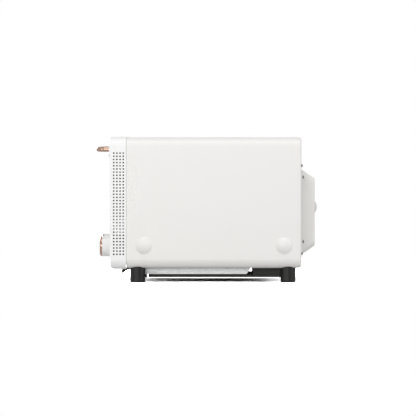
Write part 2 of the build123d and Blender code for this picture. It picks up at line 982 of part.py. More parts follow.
# Cavity liner: the oven space, with a sump for the lower heaters, a crumb
# opening in its floor and a flange that the door closes against
with BuildPart() as cavity_liner:
    with BuildSketch(Plane.YZ):
        with BuildLine():
            Polyline(
                (liner_front, cavity_sill - liner_sheet),
                (cavity_step_y - liner_sheet, cavity_sill - liner_sheet),
                (cavity_step_y - liner_sheet, cavity_floor - liner_sheet),
                (cavity_rear + liner_sheet, cavity_floor - liner_sheet),
                (cavity_rear + liner_sheet, cavity_top + liner_sheet),
                (liner_front, cavity_top + liner_sheet),
                close=True,
            )
        make_face()
    extrude(amount=cavity_half + liner_sheet, both=True)
    block(
        (-opening_half + liner_flange_gap, opening_half - liner_flange_gap),
        (liner_front, flange_back),
        (opening_bottom + liner_flange_gap, opening_top - liner_flange_gap),
    )
    with BuildSketch(Plane.YZ):
        with BuildLine():
            Polyline(
                (liner_front, cavity_sill),
                (cavity_step_y, cavity_sill),
                (cavity_step_y, cavity_floor),
                (cavity_rear, cavity_floor),
                (cavity_rear, cavity_top),
                (liner_front, cavity_top),
                close=True,
            )
        make_face()
    extrude(amount=cavity_half, both=True, mode=Mode.SUBTRACT)
    block(
        (-chute_width / 2, chute_width / 2),
        (chute_front, chute_rear),
        (cavity_floor - liner_sheet, cavity_floor),
        mode=Mode.SUBTRACT,
    )
    block(
        (inlet_x - inlet_width / 2 - seat_gap, inlet_x + inlet_width / 2 + seat_gap),
        (liner_front, flange_back),
        (inlet_bottom - seat_gap, inlet_top + seat_gap),
        mode=Mode.SUBTRACT,
    )
    rod_x(
        pipe_rear_y,
        cavity_floor + pipe_entry_rise,
        pipe_radius + hole_clearance,
        (cavity_half, cavity_half + liner_sheet),
        mode=Mode.SUBTRACT,
    )
    rod_x(
        sensor_y,
        sensor_z,
        sensor_radius + hole_clearance,
        (-cavity_half - liner_sheet, -cavity_half),
        mode=Mode.SUBTRACT,
    )
save(cavity_liner, "cavity_liner")

# Crumb chute: the duct from the cavity's floor down to the base pan
with BuildPart() as crumb_chute:
    block(
        (-chute_width / 2 - chute_sheet, chute_width / 2 + chute_sheet),
        (chute_front - chute_sheet, chute_rear + chute_sheet),
        (pan_top, cavity_floor - liner_sheet),
    )
    block(
        (-chute_width / 2, chute_width / 2),
        (chute_front, chute_rear),
        (pan_top, cavity_floor - liner_sheet),
        mode=Mode.SUBTRACT,
    )
save(crumb_chute, "crumb_chute")

# Heaters: quartz tubes in ceramic end caps on the cavity's side walls
tube_half = cavity_half - end_cap_floor
for heater_name, (heater_y, heater_z) in heater_places.items():
    with BuildPart() as heater:
        rod_x(heater_y, heater_z, heater_tube_radius, (-tube_half, tube_half))
        rod_x(
            heater_y,
            heater_z,
            heater_tube_radius - heater_tube_wall,
            (-tube_half, tube_half),
            mode=Mode.SUBTRACT,
        )
    save(heater, heater_name)

with BuildPart() as heater_filaments:
    for heater_y, heater_z in heater_places.values():
        rod_x(heater_y, heater_z, filament_radius, (-tube_half, tube_half))
save(heater_filaments, "heater_filaments")

with BuildPart() as heater_end_caps:
    for heater_y, heater_z in heater_places.values():
        for side in (-1, 1):
            block(
                sorted((side * cavity_half, side * (cavity_half - end_cap_length))),
                (heater_y - end_cap_size / 2, heater_y + end_cap_size / 2),
                (heater_z - end_cap_size / 2, heater_z + end_cap_size / 2),
            )
        rod_x(
            heater_y,
            heater_z,
            heater_tube_radius + running_fit,
            (-tube_half, tube_half),
            mode=Mode.SUBTRACT,
        )
save(heater_end_caps, "heater_end_caps")

# Heat reflector under the cavity's ceiling, with a lip along each long side
with BuildPart() as heat_reflector:
    block(
        (-reflector_half, reflector_half),
        (reflector_front, reflector_rear),
        (cavity_top - reflector_sheet, cavity_top),
    )
    for lip_y in (reflector_front, reflector_rear - reflector_sheet):
        block(
            (-reflector_half, reflector_half),
            (lip_y, lip_y + reflector_sheet),
            (cavity_top - reflector_lip, cavity_top),
        )
save(heat_reflector, "heat_reflector")

# Heater guard: a rod grid over the lower heaters, from wall to wall
guard_rod_pitch = 2 * (cavity_half - guard_edge_space) / (guard_rods - 1)
with BuildPart() as heater_guard:
    for guard_y in (guard_front, guard_rear):
        rod_x(guard_y, guard_z, guard_rod_radius, (-cavity_half, cavity_half))
    for index in range(guard_rods):
        guard_x = (index - (guard_rods - 1) / 2) * guard_rod_pitch
        rod_y(guard_x, guard_z, guard_wire_radius, (guard_front, guard_rear))
save(heater_guard, "heater_guard")

# Rack rails: an angle on each side wall of the cavity
rail_surface_z = rack_z - rack_rod_radius - slide_clearance
with BuildPart() as rack_rails:
    for side in (-1, 1):
        block(
            sorted((side * cavity_half, side * (cavity_half - rack_rail_lap))),
            (rack_rail_front, rack_rail_rear),
            (rail_surface_z - rail_sheet, rail_surface_z),
        )
        block(
            sorted((side * cavity_half, side * (cavity_half - rail_sheet))),
            (rack_rail_front, rack_rail_rear),
            (rail_surface_z - rack_rail_height, rail_surface_z),
        )
save(rack_rails, "rack_rails")

# Wire rack: a frame of thick wire, thin wires front to back and two cross wires
rack_side_x = cavity_half - rack_wall_gap - rack_rod_radius
rack_wire_pitch = 2 * (rack_side_x - rack_edge_space) / (rack_wires - 1)
with BuildPart() as wire_rack:
    with BuildLine() as rack_frame_line:
        FilletPolyline(
            (-rack_side_x, rack_front, rack_z),
            (rack_side_x, rack_front, rack_z),
            (rack_side_x, rack_rear, rack_z),
            (-rack_side_x, rack_rear, rack_z),
            radius=rack_corner_radius,
            close=True,
        )
    with BuildSketch(Plane.YZ):
        with Locations((rack_front, rack_z)):
            Circle(rack_rod_radius)
    sweep(path=rack_frame_line.line)
    for cross_y in rack_cross_y:
        rod_x(cross_y, rack_z, rack_wire_radius, (-rack_side_x, rack_side_x))
    for index in range(rack_wires):
        wire_x = (index - (rack_wires - 1) / 2) * rack_wire_pitch
        rod_y(wire_x, rack_z, rack_wire_radius, (rack_front, rack_rear))
save(wire_rack, "wire_rack")

# Water inlet: the cup above the cavity's mouth, reached with the door open
inlet_back = liner_front + inlet_depth
pipe_z = inlet_bottom + inlet_sheet + pipe_radius
with BuildPart() as water_inlet:
    block(
        (inlet_x - inlet_width / 2, inlet_x + inlet_width / 2),
        (liner_front, inlet_back),
        (inlet_bottom, inlet_top),
    )
    block(
        (inlet_x - inlet_width / 2 + inlet_sheet, inlet_x + inlet_width / 2 - inlet_sheet),
        (liner_front, inlet_back - inlet_sheet),
        (inlet_bottom + inlet_sheet, inlet_top - inlet_sheet),
        mode=Mode.SUBTRACT,
    )
    rod_y(inlet_x, pipe_z, pipe_bore_radius, (liner_front, inlet_back), mode=Mode.SUBTRACT)
save(water_inlet, "water_inlet")

# Feed pipe: from the cup along the outside of the cavity and down to the boiler
boiler_right = cavity_half - boiler_side_gap
boiler_left = boiler_right - boiler_width
boiler_top = cavity_floor + boiler_height
entry_z = cavity_floor + pipe_entry_rise
with BuildPart() as feed_pipe:
    with BuildLine() as pipe_route:
        FilletPolyline(
            (inlet_x, inlet_back, pipe_z),
            (inlet_x, pipe_leave_y, pipe_z),
            (pipe_drop_x, pipe_turn_y, pipe_z),
            (pipe_drop_x, pipe_rear_y, pipe_z),
            (pipe_drop_x, pipe_rear_y, entry_z),
            (boiler_right, pipe_rear_y, entry_z),
            radius=pipe_bend_radius,
        )
    with BuildSketch(facing(inlet_back)):
        with Locations((inlet_x, pipe_z)):
            Circle(pipe_radius)
            Circle(pipe_bore_radius, mode=Mode.SUBTRACT)
    sweep(path=pipe_route.line)
save(feed_pipe, "feed_pipe")

# Steam boiler: an open pan on the cavity's floor, under a pierced cover
boiler_y = (pipe_rear_y - boiler_length / 2, pipe_rear_y + boiler_length / 2)
with BuildPart() as steam_boiler:
    block((boiler_left, boiler_right), boiler_y, (cavity_floor, boiler_top))
    block(
        (boiler_left + boiler_wall, boiler_right - boiler_wall),
        (boiler_y[0] + boiler_wall, boiler_y[1] - boiler_wall),
        (cavity_floor + boiler_wall, boiler_top),
        mode=Mode.SUBTRACT,
    )
    rod_x(
        pipe_rear_y,
        entry_z,
        pipe_bore_radius,
        (boiler_right - boiler_wall, boiler_right),
        mode=Mode.SUBTRACT,
    )
save(steam_boiler, "steam_boiler")

with BuildPart() as boiler_cover:
    block(
        (boiler_left, boiler_right), boiler_y, (boiler_top, boiler_top + boiler_cover_sheet)
    )
    with BuildSketch(Plane.XY.offset(boiler_top)):
        with Locations(((boiler_left + boiler_right) / 2, pipe_rear_y)):
            with GridLocations(boiler_hole_pitch, boiler_hole_pitch, 4, 4):
                Circle(boiler_hole_radius)
    extrude(amount=boiler_cover_sheet, mode=Mode.SUBTRACT)
save(boiler_cover, "boiler_cover")

# Thermal sensor: a probe through the left wall of the cavity
sensor_wall = -cavity_half - liner_sheet
with BuildPart() as thermal_sensor:
    rod_x(
        sensor_y,
        sensor_z,
        sensor_radius,
        (sensor_wall - sensor_flange_thickness, -cavity_half + sensor_reach),
    )
    rod_x(
        sensor_y,
        sensor_z,
        sensor_flange_radius,
        (sensor_wall - sensor_flange_thickness, sensor_wall),
    )
save(thermal_sensor, "thermal_sensor")

# Door, outer panel: a pressed pan with a window and a rounded hinge edge
skin_back = door_front + door_sheet
handle_post_x = handle_half - handle_radius
with BuildPart() as door_outer_panel:
    block((-door_half, door_half), (door_front, inner_panel_front), (hinge_z, door_top))
    rod_x(hinge_y, hinge_z, barrel_radius, (-door_half, door_half))
    block(
        (-door_half, door_half),
        (inner_panel_front, door_back),
        (hinge_z, hinge_z + barrel_radius),
        mode=Mode.SUBTRACT,
    )
    block(
        (-door_half + door_sheet, door_half - door_sheet),
        (skin_back, inner_panel_front),
        (hinge_z, door_top - door_sheet),
        mode=Mode.SUBTRACT,
    )
    rod_x(
        hinge_y,
        hinge_z,
        barrel_radius - door_sheet,
        (-door_half + door_sheet, door_half - door_sheet),
        mode=Mode.SUBTRACT,
    )
    with BuildSketch(facing(door_front)):
        with Locations((0, window_z)):
            RectangleRounded(window_width, window_top - window_bottom, window_radius)
    extrude(amount=-door_sheet, mode=Mode.SUBTRACT)
    for side in (-1, 1):
        rod_x(
            hinge_y,
            hinge_z,
            hinge_pin_radius + hole_clearance,
            sorted((side * (door_half - door_sheet), side * door_half)),
            mode=Mode.SUBTRACT,
        )
        rod_y(
            side * handle_post_x,
            handle_z,
            handle_screw_radius + hole_clearance,
            (door_front, skin_back),
            mode=Mode.SUBTRACT,
        )
save(door_outer_panel, "door_outer_panel")

# Door glass: lies behind the window of the outer panel
with BuildPart() as door_glass:
    with BuildSketch(facing(skin_back)):
        with Locations((0, window_z)):
            RectangleRounded(
                window_width + 2 * glass_lap,
                window_top - window_bottom + 2 * glass_lap,
                window_radius,
            )
    extrude(amount=-glass_thickness)
save(door_glass, "door_glass")

# Door, inner panel: closes the pan, with a collar that holds the glass
with BuildPart() as door_inner_panel:
    block((-door_half, door_half), (inner_panel_front, door_back), (hinge_z, door_top))
    with BuildSketch(facing(glass_back)):
        with Locations((0, window_z)):
            RectangleRounded(
                window_width + 2 * collar_lap + 2 * door_sheet,
                window_top - window_bottom + 2 * collar_lap + 2 * door_sheet,
                window_radius + collar_lap + door_sheet,
            )
    extrude(amount=-(inner_panel_front - glass_back))
    with BuildSketch(facing(glass_back)):
        with Locations((0, window_z)):
            RectangleRounded(
                window_width + 2 * collar_lap,
                window_top - window_bottom + 2 * collar_lap,
                window_radius + collar_lap,
            )
    extrude(amount=-(door_back - glass_back), mode=Mode.SUBTRACT)
    for side in (-1, 1):
        rod_y(
            side * (door_half - bumper_inset),
            door_top - bumper_inset,
            bumper_stem_radius + hole_clearance,
            (inner_panel_front, door_back),
            mode=Mode.SUBTRACT,
        )
save(door_inner_panel, "door_inner_panel")

# Door bumpers: soft buttons in the upper corners of the inner panel
with BuildPart() as door_bumpers:
    for side in (-1, 1):
        bumper_x = side * (door_half - bumper_inset)
        bumper_z = door_top - bumper_inset
        rod_y(bumper_x, bumper_z, bumper_radius, (door_back, door_back + bumper_proud))
        rod_y(
            bumper_x, bumper_z, bumper_stem_radius, (door_back - bumper_stem_length, door_back)
        )
save(door_bumpers, "door_bumpers")

# Hinge arms: a block in each lower corner of the door, with the hinge pin
pin_end = door_half + hinge_pin_reach
arm_outer = door_half - door_sheet - seat_gap
hinge_sides = {"left": -1, "right": 1}
for side_name, side in hinge_sides.items():
    with BuildPart() as hinge_arm:
        block(
            sorted((side * arm_outer, side * (arm_outer - hinge_arm_width))),
            (skin_back, inner_panel_front),
            (hinge_z, hinge_z + hinge_arm_height),
        )
        rod_x(
            hinge_y,
            hinge_z,
            barrel_radius - door_sheet - seat_gap,
            sorted((side * arm_outer, side * (arm_outer - hinge_arm_width))),
        )
        rod_x(hinge_y, hinge_z, hinge_pin_radius, sorted((side * arm_outer, side * pin_end)))
    save(hinge_arm, f"hinge_arm_{side_name}")

# Hinge brackets: carry the pins, inside the sides of the bezel
bracket_inner = opening_half + bezel_wall + hinge_bracket_gap
bracket_outer = bracket_inner + hinge_bracket_sheet
for side_name, side in hinge_sides.items():
    with BuildPart() as hinge_bracket:
        block(
            sorted((side * bracket_inner, side * bracket_outer)),
            (bezel_face_back + seam_gap, body_front),
            (hinge_z - hinge_bracket_height / 2, hinge_z + hinge_bracket_height / 2),
        )
        block(
            sorted((side * bracket_inner, side * (bracket_outer + bracket_flange_width))),
            (body_front - hinge_bracket_sheet, body_front),
            (hinge_z - hinge_bracket_height / 2, hinge_z + hinge_bracket_height / 2),
        )
        rod_x(
            hinge_y,
            hinge_z,
            hinge_pin_radius + running_fit,
            sorted((side * bracket_inner, side * bracket_outer)),
            mode=Mode.SUBTRACT,
        )
    save(hinge_bracket, f"hinge_bracket_{side_name}")

# Door springs: a short coil round the end of each hinge pin
spring_start = bracket_outer + spring_wire_radius + seat_gap
spring_radius = hinge_pin_radius + slide_clearance + spring_wire_radius
with BuildPart() as door_springs:
    for side in (-1, 1):
        with BuildLine() as coil:
            Helix(
                spring_pitch,
                spring_pitch * spring_turns,
                spring_radius,
                center=(side * spring_start, hinge_y, hinge_z),
                direction=(side, 0, 0),
            )
        with BuildSketch(Plane(origin=coil.line @ 0, z_dir=coil.line % 0)):
            Circle(spring_wire_radius)
        sweep(path=coil.line, is_frenet=True)
save(door_springs, "door_springs")

# Handle rail: the raised strip across the top of the door
with BuildPart() as handle_rail:
    with BuildSketch(facing(door_front)):
        with Locations((0, (rail_top + rail_bottom) / 2)):
            RectangleRounded(2 * rail_half, rail_top - rail_bottom, rail_corner_radius)
    extrude(amount=rail_thickness)
    for side in (-1, 1):
        rod_y(
            side * handle_post_x,
            handle_z,
            handle_screw_radius + hole_clearance,
            (rail_front_y, door_front),
            mode=Mode.SUBTRACT,
        )
save(handle_rail, "handle_rail")

# Handle trim: a round bead under the rail
with BuildPart() as handle_trim:
    rod_x(
        door_front - trim_lift - trim_radius,
        rail_bottom - trim_radius,
        trim_radius,
        (-rail_half, rail_half),
    )
save(handle_trim, "handle_trim")

# Handle bar: a round rod bent to a U, screwed on from inside the door
with BuildPart() as handle_bar:
    with BuildLine() as bar_line:
        FilletPolyline(
            (-handle_post_x, rail_front_y, handle_z),
            (-handle_post_x, handle_axis_y, handle_z),
            (handle_post_x, handle_axis_y, handle_z),
            (handle_post_x, rail_front_y, handle_z),
            radius=handle_bend_radius,
        )
    with BuildSketch(facing(rail_front_y)):
        with Locations((-handle_post_x, handle_z)):
            Circle(handle_radius)
    sweep(path=bar_line.line)
    for side in (-1, 1):
        rod_y(
            side * handle_post_x,
            handle_z,
            handle_screw_radius + running_fit,
            (rail_front_y - handle_screw_bite - hole_clearance, rail_front_y),
            mode=Mode.SUBTRACT,
        )
save(handle_bar, "handle_bar")

with BuildPart() as handle_screws:
    for side in (-1, 1):
        rod_y(
            side * handle_post_x,
            handle_z,
            handle_screw_head_radius,
            (skin_back, skin_back + handle_screw_head_height),
        )
        rod_y(
            side * handle_post_x,
            handle_z,
            handle_screw_radius,
            (rail_front_y - handle_screw_bite, skin_back),
        )
save(handle_screws, "handle_screws")

# Crumb tray: a shallow pan with sloped ends and rims that hang on the runners
rim_inner = tray_half - tray_rim
with BuildPart() as crumb_tray:
    with BuildSketch(Plane.YZ) as tray_profile:
        with BuildLine():
            Polyline(
                (tray_front + tray_end_slope, tray_bottom),
                (tray_rear - tray_end_slope, tray_bottom),
                (tray_rear, tray_top),
                (tray_front, tray_top),
                close=True,
            )
        make_face()
    extrude(amount=tray_half, both=True)
    with BuildSketch(Plane.YZ):
        add(tray_profile.sketch_local)
        offset(amount=-tray_sheet, kind=Kind.INTERSECTION)
    extrude(amount=tray_half - tray_sheet, both=True, mode=Mode.SUBTRACT)
    block(
        (-rim_inner, rim_inner),
        (tray_front, tray_rear),
        (tray_top - 2 * tray_sheet, tray_top),
        mode=Mode.SUBTRACT,
    )
    block(
        (-tray_half + tray_sheet, tray_half - tray_sheet),
        (runner_rear, tray_rear),
        (tray_top - tray_rear_wall_drop, tray_top),
        mode=Mode.SUBTRACT,
    )
save(crumb_tray, "crumb_tray")

# Tray runners: under the base pan, each with a lip below the rim of the tray. With them comes
# the heat shield: a flanged plate below the tray, and the box behind the tray that carries it
lip_top = tray_top - tray_sheet - slide_clearance
shield_half = tray_half - shield_inset
shield_top = tray_bottom - shield_gap
shield_box_front = tray_rear + shield_tray_gap
shield_box_bottom = shield_top + seat_gap
with BuildPart() as tray_runners:
    for side in (-1, 1):
        web_outer = rim_inner - runner_side_gap
        block(
            sorted((side * web_outer, side * (web_outer - runner_sheet))),
            (runner_front, runner_rear),
            (lip_top - runner_sheet, pan_bottom),
        )
        block(
            sorted((side * web_outer, side * (tray_half - tray_sheet - runner_lip_gap))),
            (runner_front, runner_rear),
            (lip_top - runner_sheet, lip_top),
        )
    block(
        (-shield_half, shield_half),
        (shield_front, shield_rear),
        (shield_top - shield_flange, shield_top),
    )
    block(
        (-shield_half + shield_sheet, shield_half - shield_sheet),
        (shield_front + shield_sheet, shield_rear - shield_sheet),
        (shield_top - shield_flange, shield_top - shield_sheet),
        mode=Mode.SUBTRACT,
    )
    block(
        (-shield_half, shield_half),
        (shield_box_front, shield_rear),
        (shield_box_bottom, pan_bottom - seat_gap),
    )
    block(
        (-shield_half + shield_sheet, shield_half - shield_sheet),
        (shield_box_front + shield_sheet, shield_rear - shield_sheet),
        (shield_box_bottom + shield_sheet, pan_bottom - seat_gap),
        mode=Mode.SUBTRACT,
    )
save(tray_runners, "tray_runners")

# Tray grip: a moulded pull on the front wall of the tray, bent down at its nose
grip_top = tray_top - grip_drop
grip_bottom = grip_top - grip_thickness
wall_slope = tray_end_slope / (tray_top - tray_bottom)
with BuildPart() as tray_grip:
    with BuildSketch(Plane.YZ):
        with BuildLine():
            Polyline(
                (tray_front + wall_slope * (tray_top - grip_top), grip_top),
                (grip_knee_y, grip_top),
                (grip_nose_y, grip_nose_z),
                (grip_tip_y, grip_tip_z),
                (grip_crook_y, grip_crook_z),
                (grip_knee_y, grip_bottom),
                (tray_front + wall_slope * (tray_top - grip_bottom), grip_bottom),
                close=True,
            )
        make_face()
    extrude(amount=grip_width / 2, both=True)
save(tray_grip, "tray_grip")
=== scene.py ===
import json
import math

import bmesh
import bpy
from mathutils import Matrix, Vector


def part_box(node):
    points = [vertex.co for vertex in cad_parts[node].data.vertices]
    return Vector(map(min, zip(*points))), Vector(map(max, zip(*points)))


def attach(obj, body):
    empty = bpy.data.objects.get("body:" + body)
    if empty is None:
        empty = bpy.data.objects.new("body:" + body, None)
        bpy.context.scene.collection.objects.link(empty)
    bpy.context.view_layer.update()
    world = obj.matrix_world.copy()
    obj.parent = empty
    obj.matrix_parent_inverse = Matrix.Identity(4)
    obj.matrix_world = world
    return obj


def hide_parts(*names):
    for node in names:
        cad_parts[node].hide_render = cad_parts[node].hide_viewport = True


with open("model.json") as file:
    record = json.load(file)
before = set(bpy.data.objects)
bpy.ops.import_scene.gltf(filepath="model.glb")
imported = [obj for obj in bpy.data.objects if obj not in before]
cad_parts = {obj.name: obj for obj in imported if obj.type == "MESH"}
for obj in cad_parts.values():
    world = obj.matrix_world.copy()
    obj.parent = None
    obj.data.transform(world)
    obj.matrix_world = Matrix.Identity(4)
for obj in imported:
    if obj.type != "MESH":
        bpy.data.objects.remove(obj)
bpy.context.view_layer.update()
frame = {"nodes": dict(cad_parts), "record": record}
cadNodes = frame["nodes"]
record = frame["record"]
mm = 0.001
bodyOf = {
    node: body for body, members in record["behaviour"]["bodies"].items() for node in members
}
print("frame loaded with", len(cadNodes), "nodes")

mixFactor, mixA, mixB, mixResult = 0, 6, 7, 2  # sockets of a Mix node set to RGBA


def linearColour(hexCode):
    parts = [int(hexCode[start : start + 2], 16) / 255 for start in (1, 3, 5)]
    return [c / 12.92 if c <= 0.04045 else ((c + 0.055) / 1.055) ** 2.4 for c in parts] + [1.0]


def addNode(tree, kind, settings=None, links=None):
    node = tree.nodes.new(kind)
    for key, value in (settings or {}).items():
        if isinstance(key, int) or key in node.inputs:
            node.inputs[key].default_value = value
        else:
            setattr(node, key, value)
    for key, socket in (links or {}).items():
        tree.links.new(socket, node.inputs[key])
    return node


def startMaterial(name, look):
    # A material whose shader holds the plain values, and the piece's own coordinates
    material = bpy.data.materials.new(name)
    material.use_nodes = True
    tree = material.node_tree
    shader = tree.nodes["Principled BSDF"]
    shader.inputs["Base Color"].default_value = linearColour(look["colour"])
    for socket in ("Metallic", "Roughness", "IOR", "Specular IOR Level", "Transmission Weight"):
        if socket in look:
            shader.inputs[socket].default_value = look[socket]
    place = addNode(tree, "ShaderNodeTexCoord")
    return material, tree, shader, place.outputs["Object"]


def grainedFinish(name, look):
    # Colour that drifts slowly, with a fine grain in height and gloss; stretch draws the
    # grain out along an axis, as brushing does
    material, tree, shader, place = startMaterial(name, look)
    stretched = addNode(
        tree, "ShaderNodeMapping", {"Scale": look.get("stretch", (1, 1, 1))}, {"Vector": place}
    ).outputs[0]
    drift = addNode(
        tree,
        "ShaderNodeTexNoise",
        {"Scale": 1 / (look["driftMm"] * mm), "Detail": 2.0},
        {"Vector": stretched},
    ).outputs[0]
    colour = addNode(
        tree,
        "ShaderNodeMix",
        {
            "data_type": "RGBA",
            mixA: linearColour(look["colour"]),
            mixB: linearColour(look["driftColour"]),
        },
        {mixFactor: drift},
    ).outputs[mixResult]
    grain = addNode(
        tree,
        "ShaderNodeTexNoise",
        {"Scale": 1 / (look["grainMm"] * mm), "Detail": 3.0, "Roughness": 0.6},
        {"Vector": stretched},
    ).outputs[0]
    gloss = addNode(
        tree,
        "ShaderNodeMapRange",
        {
            "From Min": 0.3,
            "From Max": 0.7,
            "To Min": look["Roughness"] - look["glossSpread"],
            "To Max": look["Roughness"] + look["glossSpread"],
        },
        {"Value": grain},
    ).outputs[0]
    height = addNode(
        tree,
        "ShaderNodeBump",
        {"Strength": look["grainStrength"], "Distance": look["grainDepthMm"] * mm},
        {"Height": grain},
    ).outputs[0]
    tree.links.new(colour, shader.inputs["Base Color"])
    tree.links.new(gloss, shader.inputs["Roughness"])
    tree.links.new(height, shader.inputs["Normal"])
    return material


def spangledZinc(name, look):
    # Hot-dip zinc freezes in flat crystals of a few millimetres, each with its own grey
    material, tree, shader, place = startMaterial(name, look)
    crystals = addNode(
        tree, "ShaderNodeTexVoronoi", {"Scale": 1 / (look["crystalMm"] * mm)}, {"Vector": place}
    ).outputs["Color"]
    share = addNode(tree, "ShaderNodeSeparateColor", {}, {"Color": crystals}).outputs[0]
    colour = addNode(
        tree,
        "ShaderNodeMix",
        {
            "data_type": "RGBA",
            mixA: linearColour(look["colour"]),
            mixB: linearColour(look["crystalColour"]),
        },
        {mixFactor: share},
    ).outputs[mixResult]
    gloss = addNode(
        tree,
        "ShaderNodeMapRange",
        {"To Min": look["Roughness"] - 0.06, "To Max": look["Roughness"] + 0.08},
        {"Value": share},
    ).outputs[0]
    tree.links.new(colour, shader.inputs["Base Color"])
    tree.links.new(gloss, shader.inputs["Roughness"])
    return material


# Polyester powder coat baked on steel sheet: a warm satin white with a fine orange peel
powderCoat = grainedFinish(
    "powderCoatedSteel",
    {
        "colour": "#edecea",
        "driftColour": "#ebeae7",
        "driftMm": 120,
        "Roughness": 0.42,
        "Specular IOR Level": 0.3,
        "glossSpread": 0.04,
        "grainMm": 1.4,
        "grainStrength": 0.25,
        "grainDepthMm": 0.02,
    },
)

# Moulded ABS with a spark-eroded texture: neutral white, a little brighter than the steel
mouldedAbs = grainedFinish(
    "mouldedAbsWhite",
    {
        "colour": "#f4f4f4",
        "driftColour": "#f2f2f1",
        "driftMm": 90,
        "Roughness": 0.45,
        "Specular IOR Level": 0.3,
        "glossSpread": 0.05,
        "grainMm": 0.6,
        "grainStrength": 0.2,
        "grainDepthMm": 0.015,
    },
)

# Inside of the bezel: painted shade, a dark brown that stands in for the shade seen through the vent holes
ventHoleShade = grainedFinish(
    "paintedVentHoleShade",
    {
        "colour": "#3a322d",
        "driftColour": "#2c2723",
        "driftMm": 30,
        "Roughness": 0.7,
        "glossSpread": 0.05,
        "grainMm": 0.8,
        "grainStrength": 0.2,
        "grainDepthMm": 0.02,
    },
)

# Copper-toned plating polished along its length: dark bronze with fine lines
copperPlate = grainedFinish(
    "polishedCopperPlate",
    {
        "colour": "#a98e80",
        "driftColour": "#9a7f71",
        "driftMm": 14,
        "Metallic": 1.0,
        "Roughness": 0.16,
        "glossSpread": 0.04,
        "grainMm": 0.5,
        "stretch": (0.08, 1, 1),
        "grainStrength": 0.12,
        "grainDepthMm": 0.01,
    },
)

# Brushed stainless sheet: lines along X
brushedSteel = grainedFinish(
    "brushedStainless",
    {
        "colour": "#b9b8b5",
        "driftColour": "#aeadaa",
        "driftMm": 30,
        "Metallic": 1.0,
        "Roughness": 0.32,
        "glossSpread": 0.07,
        "grainMm": 0.45,
        "stretch": (0.03, 1, 1),
        "grainStrength": 0.25,
        "grainDepthMm": 0.01,
    },
)

# Bright chrome on wire: nearly a mirror
chromeWire = grainedFinish(
    "chromePlatedWire",
    {
        "colour": "#c9cacb",
        "driftColour": "#bfc0c2",
        "driftMm": 25,
        "Metallic": 1.0,
        "Roughness": 0.12,
        "glossSpread": 0.03,
        "grainMm": 0.8,
        "grainStrength": 0.08,
        "grainDepthMm": 0.01,
    },
)

# Zinc-plated screws and shafts: dull bright grey
zincPlate = grainedFinish(
    "zincPlatedSteel",
    {
        "colour": "#a3a4a4",
        "driftColour": "#93949a",
        "driftMm": 6,
        "Metallic": 1.0,
        "Roughness": 0.34,
        "glossSpread": 0.06,
        "grainMm": 0.5,
        "grainStrength": 0.15,
        "grainDepthMm": 0.01,
    },
)

# Black zinc on the outside screws: dark, with a satin sheen
blackZinc = grainedFinish(
    "blackZincScrew",
    {
        "colour": "#2a2928",
        "driftColour": "#35332f",
        "driftMm": 4,
        "Metallic": 0.6,
        "Roughness": 0.42,
        "glossSpread": 0.05,
        "grainMm": 0.4,
        "grainStrength": 0.15,
        "grainDepthMm": 0.01,
    },
)

# Hot-dip galvanised sheet under and inside the body
galvanised = spangledZinc(
    "galvanisedSheet",
    {
        "colour": "#a9abab",
        "crystalColour": "#8f9294",
        "crystalMm": 5,
        "Metallic": 0.85,
        "Roughness": 0.42,
    },
)

# Aluminised steel of the crumb tray: paler and more even than the pan
aluminised = spangledZinc(
    "aluminisedSheet",
    {
        "colour": "#f4f4f4",
        "crystalColour": "#ebecec",
        "crystalMm": 2.5,
        "Metallic": 0.25,
        "Roughness": 0.45,
    },
)

# Painted shadow: a dark sheet below the tray whose colour stands in for the shade under the body
paintedUnderShadow = grainedFinish(
    "paintedUnderShadowSheet",
    {
        "colour": "#3b3b37",
        "driftColour": "#32322f",
        "driftMm": 25,
        "Roughness": 0.5,
        "Specular IOR Level": 0.3,
        "glossSpread": 0.05,
        "grainMm": 0.7,
        "grainStrength": 0.2,
        "grainDepthMm": 0.02,
    },
)

# Moulded rubber feet: black, with a dull sheen and a dusty grain
blackRubber = grainedFinish(
    "mouldedBlackRubber",
    {
        "colour": "#080807",
        "driftColour": "#0d0d0b",
        "driftMm": 12,
        "Roughness": 0.33,
        "Specular IOR Level": 0.28,
        "glossSpread": 0.07,
        "grainMm": 0.5,
        "grainStrength": 0.25,
        "grainDepthMm": 0.02,
    },
)

# Glass-filled nylon: charcoal with a fine moulded grain
blackNylon = grainedFinish(
    "glassFilledNylon",
    {
        "colour": "#1d1d1c",
        "driftColour": "#242423",
        "driftMm": 10,
        "Roughness": 0.5,
        "glossSpread": 0.06,
        "grainMm": 0.4,
        "grainStrength": 0.3,
        "grainDepthMm": 0.02,
    },
)

# Unglazed steatite: chalky off-white
steatite = grainedFinish(
    "unglazedSteatite",
    {
        "colour": "#dcd8cc",
        "driftColour": "#cfc9ba",
        "driftMm": 8,
        "Roughness": 0.75,
        "glossSpread": 0.05,
        "grainMm": 0.5,
        "grainStrength": 0.3,
        "grainDepthMm": 0.03,
    },
)

# Soft silicone buttons: mid grey and matt
greySilicone = grainedFinish(
    "greySilicone",
    {
        "colour": "#77797a",
        "driftColour": "#6c6e6f",
        "driftMm": 5,
        "Roughness": 0.65,
        "glossSpread": 0.05,
        "grainMm": 0.5,
        "grainStrength": 0.15,
        "grainDepthMm": 0.02,
    },
)

# Oxidised resistance wire: dark blue-grey with straw tints
resistanceWire = grainedFinish(
    "oxidisedResistanceWire",
    {
        "colour": "#55504c",
        "driftColour": "#6d655a",
        "driftMm": 7,
        "Metallic": 0.8,
        "Roughness": 0.5,
        "glossSpread": 0.08,
        "grainMm": 0.4,
        "grainStrength": 0.2,
        "grainDepthMm": 0.01,
    },
)

# Solder mask over copper: deep green with paler tracks
solderMask = grainedFinish(
    "greenSolderMask",
    {
        "colour": "#14512f",
        "driftColour": "#2a7a48",
        "driftMm": 4,
        "Roughness": 0.35,
        "glossSpread": 0.05,
        "grainMm": 1.5,
        "stretch": (0.2, 1, 1),
        "grainStrength": 0.1,
        "grainDepthMm": 0.02,
    },
)

